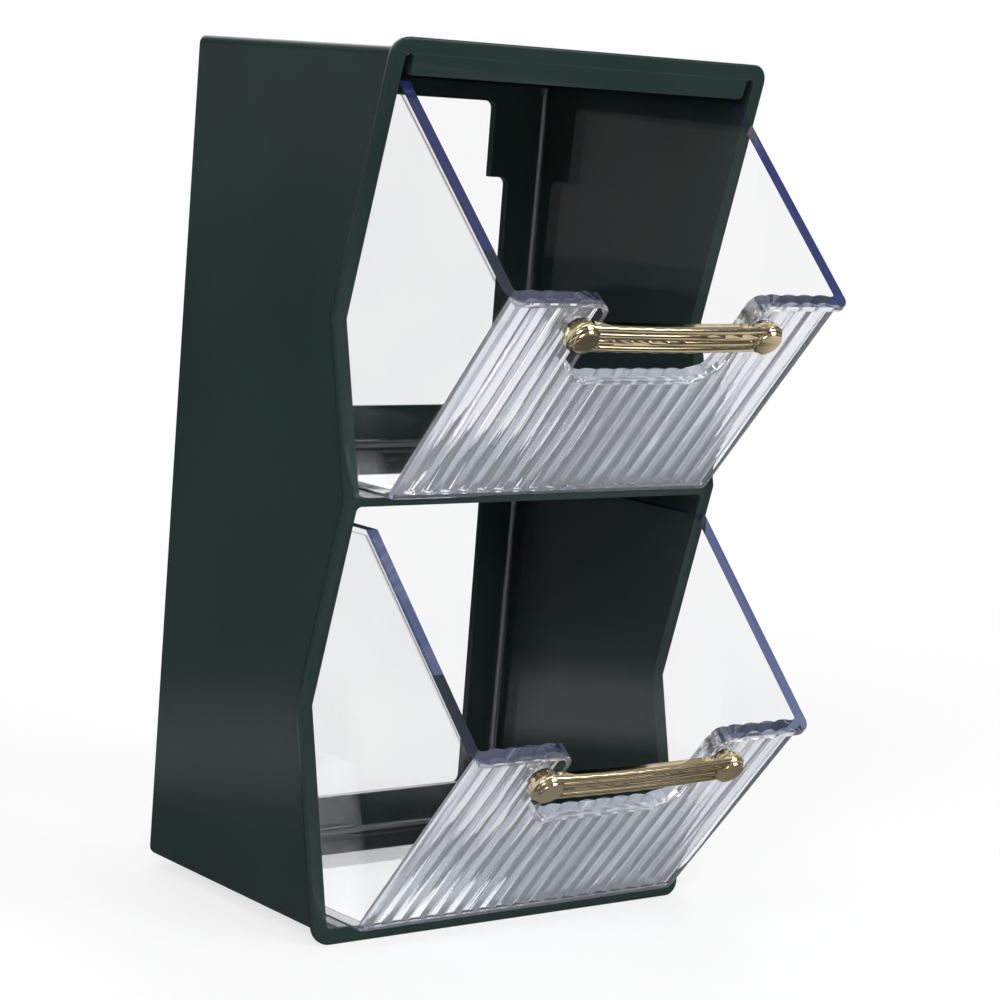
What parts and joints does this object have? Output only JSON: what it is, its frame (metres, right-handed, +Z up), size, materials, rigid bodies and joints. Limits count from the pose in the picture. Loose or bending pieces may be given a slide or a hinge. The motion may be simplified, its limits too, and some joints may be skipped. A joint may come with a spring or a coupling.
{
  "type": "two-tier drawer chest",
  "caption": "Tabletop tea bag chest: dark housing with a zig-zag front, clear leaning drawers with fluted fronts, finger notches and ribbed gold pull handles.",
  "frame": {"origin": "middle of the lower face of the housing's front flange, level with the two rear pads", "axes": "+X to the right seen from the front, +Y from the front to the back, +Z up"},
  "size_m": [0.145, 0.158, 0.268],
  "materials": {
    "green_plastic": "satin",
    "clear_plastic": "clear",
    "gold": "polished plating",
    "steel": "satin"
  },
  "bodies": {
    "housing": {"housing": "green_plastic", "back_frame": "green_plastic"},
    "upper_drawer": {"upper_drawer": "clear_plastic", "upper_handle": "gold", "upper_handle_screws": "steel"},
    "lower_drawer": {"lower_drawer": "clear_plastic", "lower_handle": "gold", "lower_handle_screws": "steel"}
  },
  "joints": [
    {"name": "upper_drawer_slide", "type": "slide", "parent": "housing", "child": "upper_drawer", "axis": [0, -1, 0], "range_m": [0, 0.11]},
    {"name": "lower_drawer_slide", "type": "slide", "parent": "housing", "child": "lower_drawer", "axis": [0, -1, 0], "range_m": [0, 0.11]}
  ]
}
